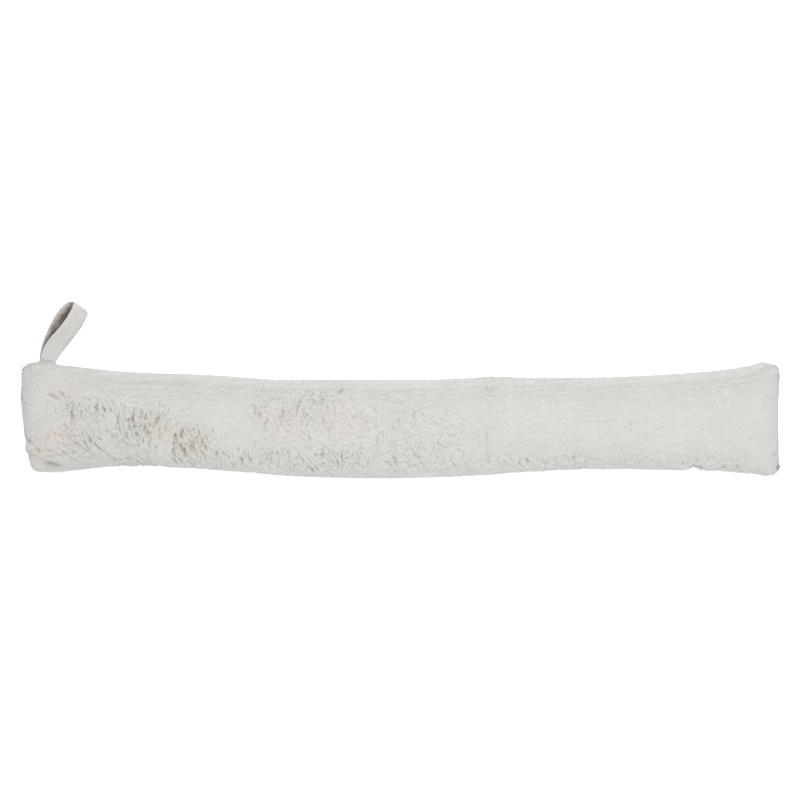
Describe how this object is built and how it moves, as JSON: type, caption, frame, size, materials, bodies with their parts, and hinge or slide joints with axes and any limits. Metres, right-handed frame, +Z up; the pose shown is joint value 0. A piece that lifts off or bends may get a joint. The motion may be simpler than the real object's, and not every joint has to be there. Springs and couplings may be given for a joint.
{
  "type": "draught excluder",
  "caption": "Long narrow filled plush cushion that lies along the foot of a door to stop draughts, with a hanging loop sewn into one side near an end.",
  "frame": {"origin": "on the flat underside, at the middle of the length", "axes": "+X along the length, away from the end with the loop; +Y across, to the side the loop is sewn into; +Z up from the floor"},
  "size_m": [0.9009, 0.2093, 0.061],
  "materials": {
    "plush": "short-pile plush, pale warm grey, matt with a soft nap",
    "tape": "smooth soft fabric tape, pale grey, matt"
  },
  "bodies": {
    "root": {"cover": "plush", "hanging_loop": "tape"}
  },
  "joints": []
}
